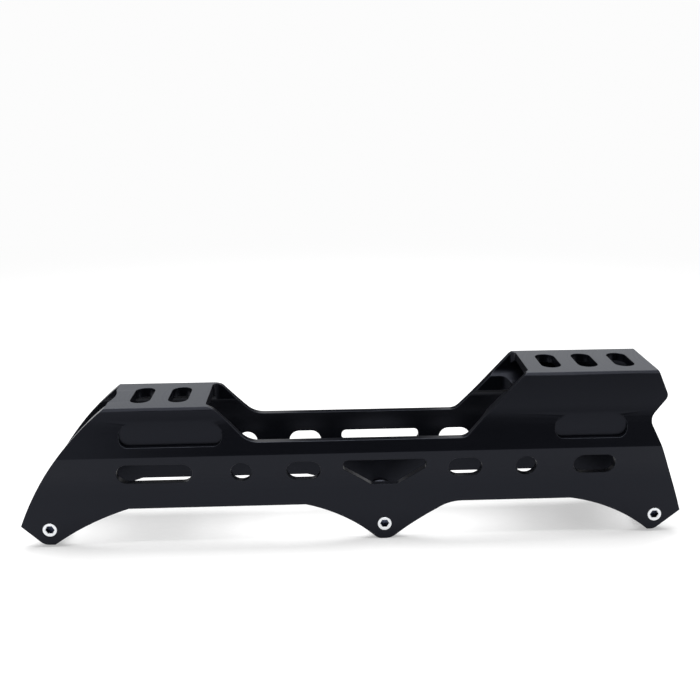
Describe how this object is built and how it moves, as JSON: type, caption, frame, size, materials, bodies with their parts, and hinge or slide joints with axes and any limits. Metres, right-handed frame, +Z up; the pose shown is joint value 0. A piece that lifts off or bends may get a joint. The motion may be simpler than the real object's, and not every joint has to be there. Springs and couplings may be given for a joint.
{
  "type": "inline skate frame",
  "caption": "Inline skate frame: a milled aluminium channel with a low front deck, a raised rear deck, slots for boot bolts, windowed walls and drawable axles with flanged bearing bushes.",
  "frame": {"origin": "on the ground under the middle of the length, on the centre plane between the walls; the lobe of the middle axle stands on the ground", "axes": "+X from the toe to the heel, +Y across the frame away from the axles' hex sockets, +Z up"},
  "size_m": [0.2676, 0.0392, 0.0695],
  "materials": {
    "black_anodised_aluminium": "satin black anodised, milled and bead blasted",
    "axle_steel": "bright turned steel",
    "bush_steel": "bright turned steel"
  },
  "bodies": {
    "frame": {"frame_body": "black_anodised_aluminium"},
    "front_axle": {"front_axle": "axle_steel"},
    "front_outer_bush": {"front_outer_bush": "bush_steel"},
    "front_inner_bush": {"front_inner_bush": "bush_steel"},
    "middle_axle": {"middle_axle": "axle_steel"},
    "middle_outer_bush": {"middle_outer_bush": "bush_steel"},
    "middle_inner_bush": {"middle_inner_bush": "bush_steel"},
    "rear_axle": {"rear_axle": "axle_steel"},
    "rear_outer_bush": {"rear_outer_bush": "bush_steel"},
    "rear_inner_bush": {"rear_inner_bush": "bush_steel"}
  },
  "joints": [
    {"name": "front_axle_draw", "type": "slide", "parent": "frame", "child": "front_axle", "axis": [0, -1, 0], "range_m": [0, 0.018]},
    {"name": "front_outer_bush_spin", "type": "hinge", "parent": "frame", "child": "front_outer_bush", "pos_m": [-0.1226, -0.0098, 0.0075], "axis": [0, 1, 0], "continuous": true},
    {"name": "front_inner_bush_slide", "type": "slide", "parent": "frame", "child": "front_inner_bush", "axis": [0, -1, 0], "range_m": [-0.0147, 0]},
    {"name": "middle_axle_draw", "type": "slide", "parent": "frame", "child": "middle_axle", "axis": [0, -1, 0], "range_m": [0, 0.018]},
    {"name": "middle_outer_bush_spin", "type": "hinge", "parent": "frame", "child": "middle_outer_bush", "pos_m": [0.0119, -0.0098, 0.0065], "axis": [0, 1, 0], "continuous": true},
    {"name": "middle_inner_bush_slide", "type": "slide", "parent": "frame", "child": "middle_inner_bush", "axis": [0, -1, 0], "range_m": [-0.0147, 0]},
    {"name": "rear_axle_draw", "type": "slide", "parent": "frame", "child": "rear_axle", "axis": [0, -1, 0], "range_m": [0, 0.018]},
    {"name": "rear_outer_bush_spin", "type": "hinge", "parent": "frame", "child": "rear_outer_bush", "pos_m": [0.1234, -0.0098, 0.0075], "axis": [0, 1, 0], "continuous": true},
    {"name": "rear_inner_bush_slide", "type": "slide", "parent": "frame", "child": "rear_inner_bush", "axis": [0, -1, 0], "range_m": [-0.0147, 0]}
  ]
}
